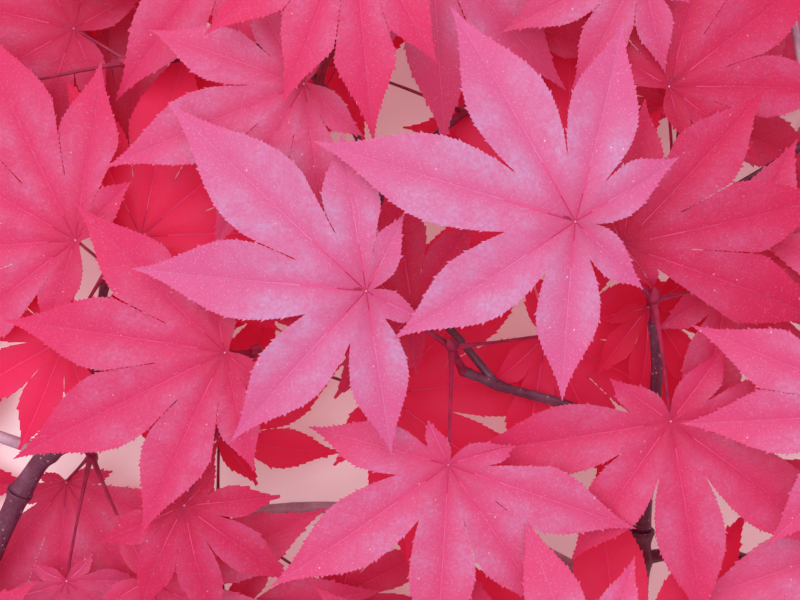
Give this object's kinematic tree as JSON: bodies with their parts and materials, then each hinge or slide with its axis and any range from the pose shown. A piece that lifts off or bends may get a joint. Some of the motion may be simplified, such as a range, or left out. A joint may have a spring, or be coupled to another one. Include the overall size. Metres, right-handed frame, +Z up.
{
  "type": "cut japanese maple branch",
  "caption": "Cut branch of red japanese maple lying flat: a brown stem forks into side twigs that carry layered sprays of pink-red lobed leaves on thin stalks.",
  "frame": {"origin": "middle of the bounding box in plan, on the level surface that the branch lies on", "axes": "+Z up, +Y away from the cut end of the stem, +X to the right when it is seen from above with the cut end nearest"},
  "size_m": [0.3678, 0.337, 0.0726],
  "materials": {
    "bark": "smooth purple-brown young bark with a faint sheen",
    "foliage": "thin satin leaves in pink and red with fine pale veins"
  },
  "bodies": {
    "root": {"stem": "bark", "left_bough": "bark", "left_upper_bough": "bark", "left_side_twig": "bark", "outer_left_twig": "bark", "corner_left_twig": "bark", "lower_left_twig": "bark", "right_bough": "bark", "right_upper_twig": "bark", "middle_twig": "bark", "middle_upper_twig": "bark", "top_twig": "bark", "high_top_twig": "bark", "upper_left_twig": "bark", "low_top_left_twig": "bark", "high_middle_twig": "bark", "low_middle_twig": "bark", "right_side_twig": "bark", "far_right_twig": "bark", "near_right_twig": "bark", "top_right_twig": "bark", "behind_right_twig": "bark", "low_top_right_twig": "bark", "outer_right_twig": "bark", "corner_right_twig": "bark", "bottom_twig": "bark", "bottom_middle_twig": "bark", "right_tip_leaves": "foliage", "middle_leaves": "foliage", "left_leaves": "foliage", "far_left_leaves": "foliage", "lower_left_leaves": "foliage", "top_leaves": "foliage", "top_middle_leaves": "foliage", "near_right_leaves": "foliage", "behind_right_leaves": "foliage", "top_right_leaves": "foliage", "outer_right_leaves": "foliage", "bottom_leaves": "foliage", "low_middle_leaves": "foliage", "high_middle_leaves": "foliage", "upper_left_leaves": "foliage", "low_top_right_leaves": "foliage", "low_top_left_leaves": "foliage", "corner_right_leaves": "foliage", "outer_left_leaves": "foliage", "corner_left_leaves": "foliage", "low_corner_left_leaves": "foliage", "bottom_middle_leaves": "foliage"}
  },
  "joints": []
}
